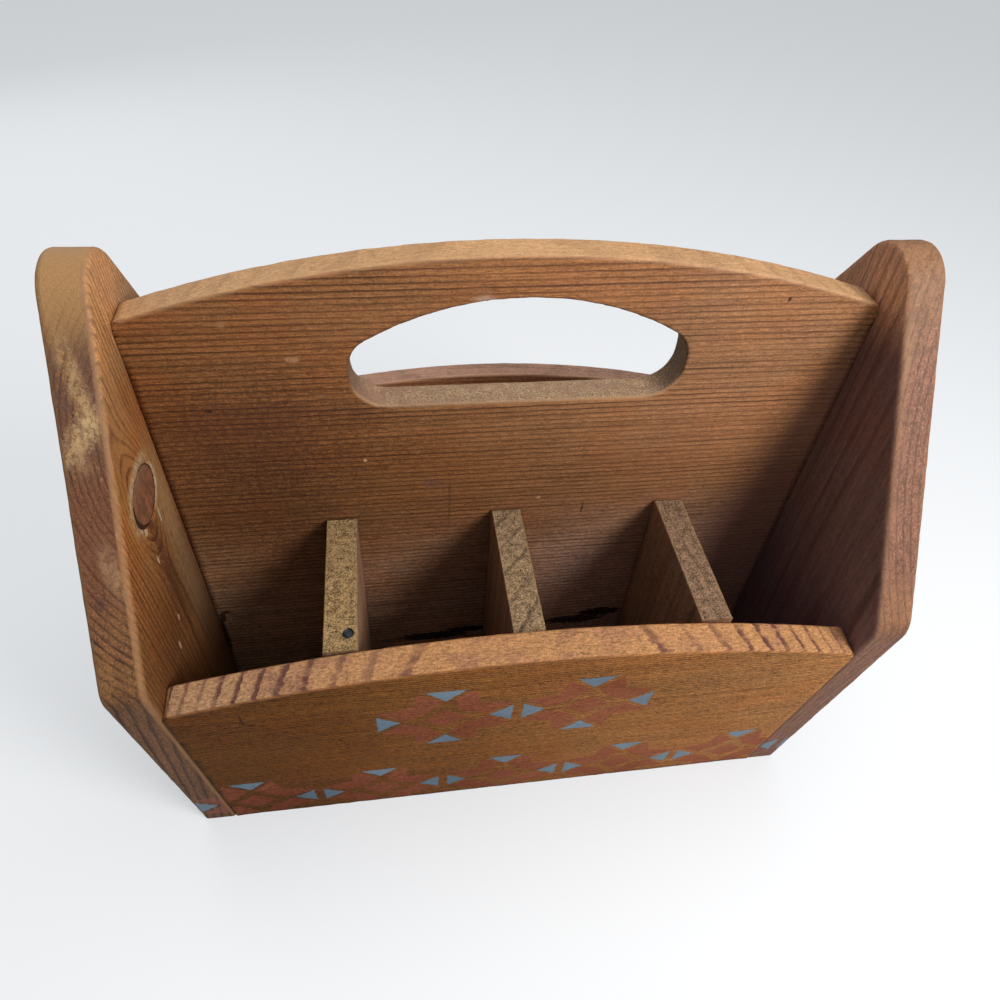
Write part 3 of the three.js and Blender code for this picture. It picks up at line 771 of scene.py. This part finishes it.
# Front board: leans out and is crowned, its grain fine and edge on. A patchwork star is stencilled on
# it in two rows, with rust points and blue-grey triangles; the lower row runs off its lower edge.
front_board = copied_board("front_board", "front_board_worn")
worn(front_board, clear_of_panels, 0.35)
front = pine(
    "pine_front_board", (1.0, 0.0, 0.0), (0.0, -28.0, -120.0), 1.7, (154, 101, 53), (80, 46, 22),
    line=0.5, waver=0.7, contrast=1.1, bow=1.2, rough=1.6,
)
front_depth = front.z * math.sin(lean) + (front.y + foot) * math.cos(lean)
front_sawn = (5.8 - abs(front_depth - 6.35)).band(-0.1, 0.5) * front.z.band(95.0, 105.0)
front_bands = front.rings * abs(front.x).band(2.0, 58.0)
front_cloud = front.place.cloud((0.07, 0.12, 0.12), 3.0, 0.6).band(0.48, 0.66)
front_top = front.x.band(-130.0, -30.0).blend(tone(166, 127, 93), tone(164, 118, 78))
front_top = (front_cloud * 0.5).blend(front_top, tone(134, 90, 74))
front_top = (front_bands * 1.9 - 0.5).most(0.0).least(1.0).blend(front_top, tone(94, 60, 53)).tinted(
    1.03 - abs(front.x).band(70.0, 0.0) * 0.08 + front.grain * 0.7 + front.drift * 0.3)
# Painted light: the front is painted dark and warm at its left end and lighter and cooler towards its right, as
# the light falls.
front_painted_light = (front.x + 130.0).band(-20.0, 260.0)
front_colour = front_painted_light.blend(
    front.colour.stretched((1.0, 0.83, 0.34)), front.colour.stretched((1.0, 1.09, 1.22)),
).tinted(0.43 + front_painted_light * 0.83)
# A hooked crack and a short one near the left end.
front_colour = marked(front, front_colour, (
    ((-105.2, -81.0, 116.5), (0.45, 4.0, 5.5), (40, 24, 15), 0.85),
    ((-103.2, -80.0, 111.2), (1.5, 4.0, 0.5), (40, 24, 15), 0.8),
    ((-93.4, -80.0, 114.5), (1.0, 4.0, 0.6), (44, 26, 16), 0.8),
))
front_colour = (front.rubbed * 0.4 * abs(front.x).band(129.0, 126.0)).blend(front_colour, tone(166, 116, 82))
front_colour = front_sawn.blend(front_colour, front_top)
rust_above, blue_above = stencil(front, *upper_row)
rust_below, blue_below = stencil(front, *lower_row)
rust_paint = rust_above.most(rust_below)
blue_paint = blue_above.most(blue_below)
front_colour = painted(front, front_colour, rust_paint, blue_paint)
front_paint = rust_paint.most(blue_paint)
front_dull = 0.55 + front.fibre * 0.3 + front_paint * 0.2
lay(front, front_colour, front_dull, front.height + front_paint * 0.03, 0.06)
fitted(front_board, "front_board", front.material)

# Dividers: three short boards with the grain upright, so that their tops are rough end grain. They
# stand on the bottom board, between the centre board and the front board. Iron has stained the left one
# dark round the nail in its top.
for side, trunk_heart, top_pale, top_dark, top_line in (
    ("left", (-190.0, -60.0, 0.0), (204, 166, 114), (48, 33, 17), 0.35),
    ("middle", (115.0, -136.0, 0.0), (194, 160, 120), (42, 29, 18), 1.1),
    ("right", (250.0, -10.0, 0.0), (180, 142, 110), (46, 32, 24), 1.0),
):
    divider = copied_board("divider_" + side, "partition_" + side, 2.0)
    finer(divider, lambda point, normal: normal.z > 0.7 and point.z > 139, 2)
    pressed(divider, "fuzzy", lambda point, away: float(point.z > 139.4), 0.45, fuzz)
    worn(divider, lambda point: 1.0, 0.25, 0.1)
    upright = pine(
        "pine_partition_" + side, (0.0, 0.0, 1.0), trunk_heart, 8.6 if side == "middle" else 5.5,
        (134, 102, 78), (92, 64, 50), line=0.74, waver=2.4, contrast=0.7,
    )
    end_grain = (upright.z + upright.ragged * 0.3).band(139.6, 140.2)
    fibres = upright.place.stretched((1.0, 1.0, 0.3)).cloud((1.5, 1.5, 1.5), 3.0, 0.85).band(0.38, 0.62)
    pores = fibres * 0.65 + upright.place.cloud((0.35, 0.35, 0.1), 3.0, 0.7).band(0.35, 0.65) * 0.35
    top = pores.blend(tone(*top_dark), tone(*top_pale))
    top = (upright.rings * top_line).least(1.0).blend(top, tone(70, 52, 44))
    # Painted shade: the sides are darker towards the bottom.
    sides = ((upright.z + upright.ragged * 6.0).band(80.0, 20.0) * 0.5).blend(upright.colour, tone(50, 34, 26))
    colour = end_grain.blend(sides, top)
    colour = (upright.rubbed * 0.4 * upright.z.band(134.0, 139.0)).blend(colour, tone(176, 142, 98))
    if side == "left":
        brad_x, brad_y = -65.4, -62.9
        stain_x, stain_y = upright.x - brad_x, upright.y - brad_y
        stain = stain_x.maths("SQRT", stain_x * stain_x + stain_y * stain_y).band(2.3, 1.95)
        colour = (stain * upright.z.band(136.0, 138.0)).blend(colour, tone(50, 56, 66))
    lay(upright, colour, 0.8, upright.height + end_grain * pores * 0.3, 0.15)
    fitted(divider, "divider_" + side, upright.material)

# Nails: thin steel nails with small heads, gone dark, driven through the side panels and the boards.
steel = bpy.data.materials.new("dark_nail")
steel.use_nodes = True
steel_tree = steel.node_tree
steel_tree.nodes.clear()
steel_ground = Shade(steel_tree, steel_tree.nodes.new("ShaderNodeTexCoord").outputs["Object"])
steel_place = steel_ground.stretched(in_mm)
steel_wear = steel_place.cloud((1.5, 1.5, 1.5), 3.0, 0.6)
steel_colour = steel_wear.band(0.35, 0.7).blend(tone(46, 50, 58), tone(70, 72, 76))
steel_surface = steel_ground.node("BsdfPrincipled", {}, {
    "Base Color": steel_colour, "Metallic": 0.3, "Roughness": steel_wear * 0.4 + 0.45,
})
steel_ground.node("OutputMaterial", {}, {"Surface": steel_surface})
for node_name, nail in frame["nodes"].items():
    if node_name.startswith(("nail_", "brad_")):
        nail.data.materials.clear()
        nail.data.materials.append(steel)
